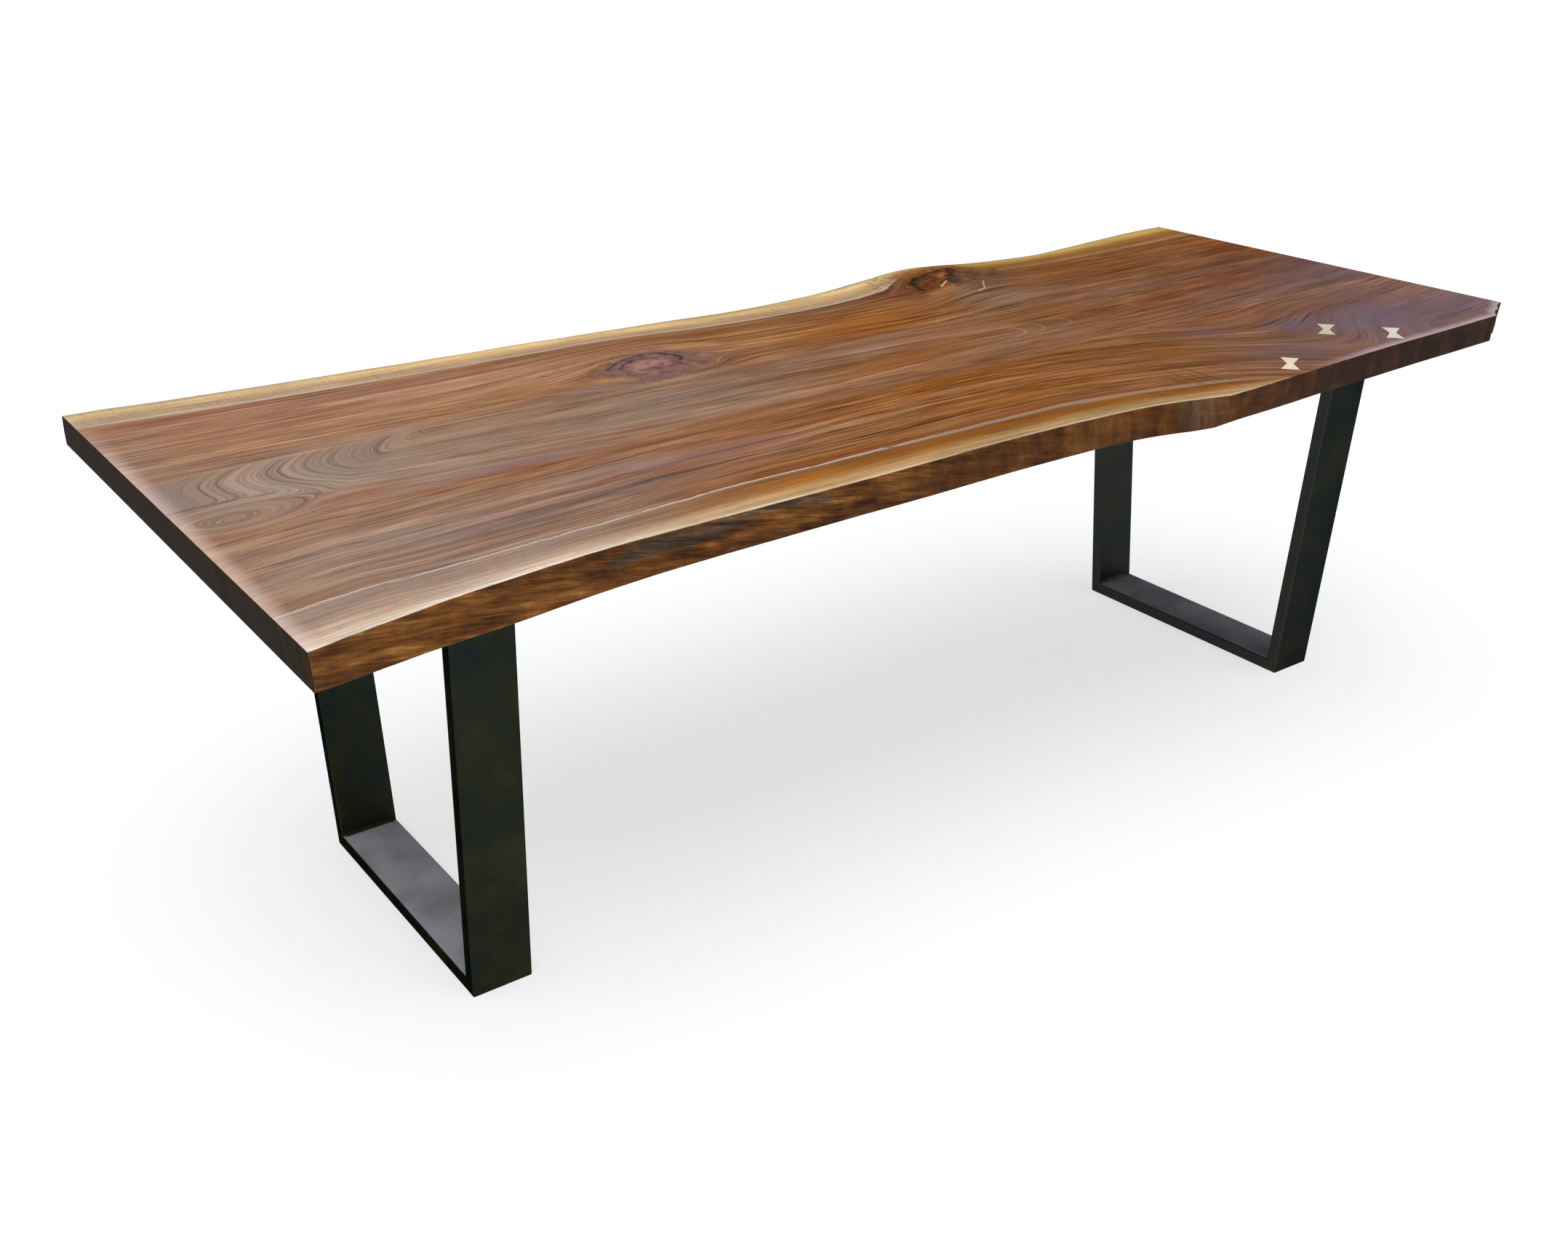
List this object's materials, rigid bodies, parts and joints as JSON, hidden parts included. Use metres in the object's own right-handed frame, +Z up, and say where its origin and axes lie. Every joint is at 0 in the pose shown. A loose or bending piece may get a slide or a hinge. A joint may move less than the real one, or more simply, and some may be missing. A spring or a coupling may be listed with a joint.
{
  "type": "live edge dining table",
  "caption": "Live edge dining table: edge-joined walnut boards with inlaid butterfly keys, bolted to open trapezoid legs of welded rectangular steel tube.",
  "frame": {"origin": "on the floor, under the middle of the top's overall length and width", "axes": "+Z up; +X along the top's length, towards the end with the butterfly keys and the broken corner; +Y across the top, towards the edge with the knot bulge"},
  "size_m": [2.44, 1.068, 0.762],
  "materials": {
    "walnut": "hand-rubbed satin oil over planed black walnut",
    "maple": "flush-sanded maple under the same satin oil",
    "beech": "bare beech, hidden in the joints",
    "blackened_steel": "satin black on drawn tube",
    "zinc_plated_steel": "zinc plated",
    "brass": "turned brass"
  },
  "bodies": {
    "root": {"rear_board": "walnut", "middle_board": "walnut", "front_board": "walnut", "rear_joint_tenons": "beech", "front_joint_tenons": "beech", "butterfly_key_near_edge": "maple", "butterfly_key_near_joint": "maple", "butterfly_key_near_end": "maple", "left_leg_mounting_plate": "blackened_steel", "left_leg_front_upright": "blackened_steel", "left_leg_rear_upright": "blackened_steel", "left_leg_foot_bar": "blackened_steel", "left_leg_weld_beads": "blackened_steel", "left_leg_screws": "zinc_plated_steel", "left_leg_washers": "zinc_plated_steel", "left_leg_threaded_inserts": "brass", "right_leg_mounting_plate": "blackened_steel", "right_leg_front_upright": "blackened_steel", "right_leg_rear_upright": "blackened_steel", "right_leg_foot_bar": "blackened_steel", "right_leg_weld_beads": "blackened_steel", "right_leg_screws": "zinc_plated_steel", "right_leg_washers": "zinc_plated_steel", "right_leg_threaded_inserts": "brass"}
  },
  "joints": []
}
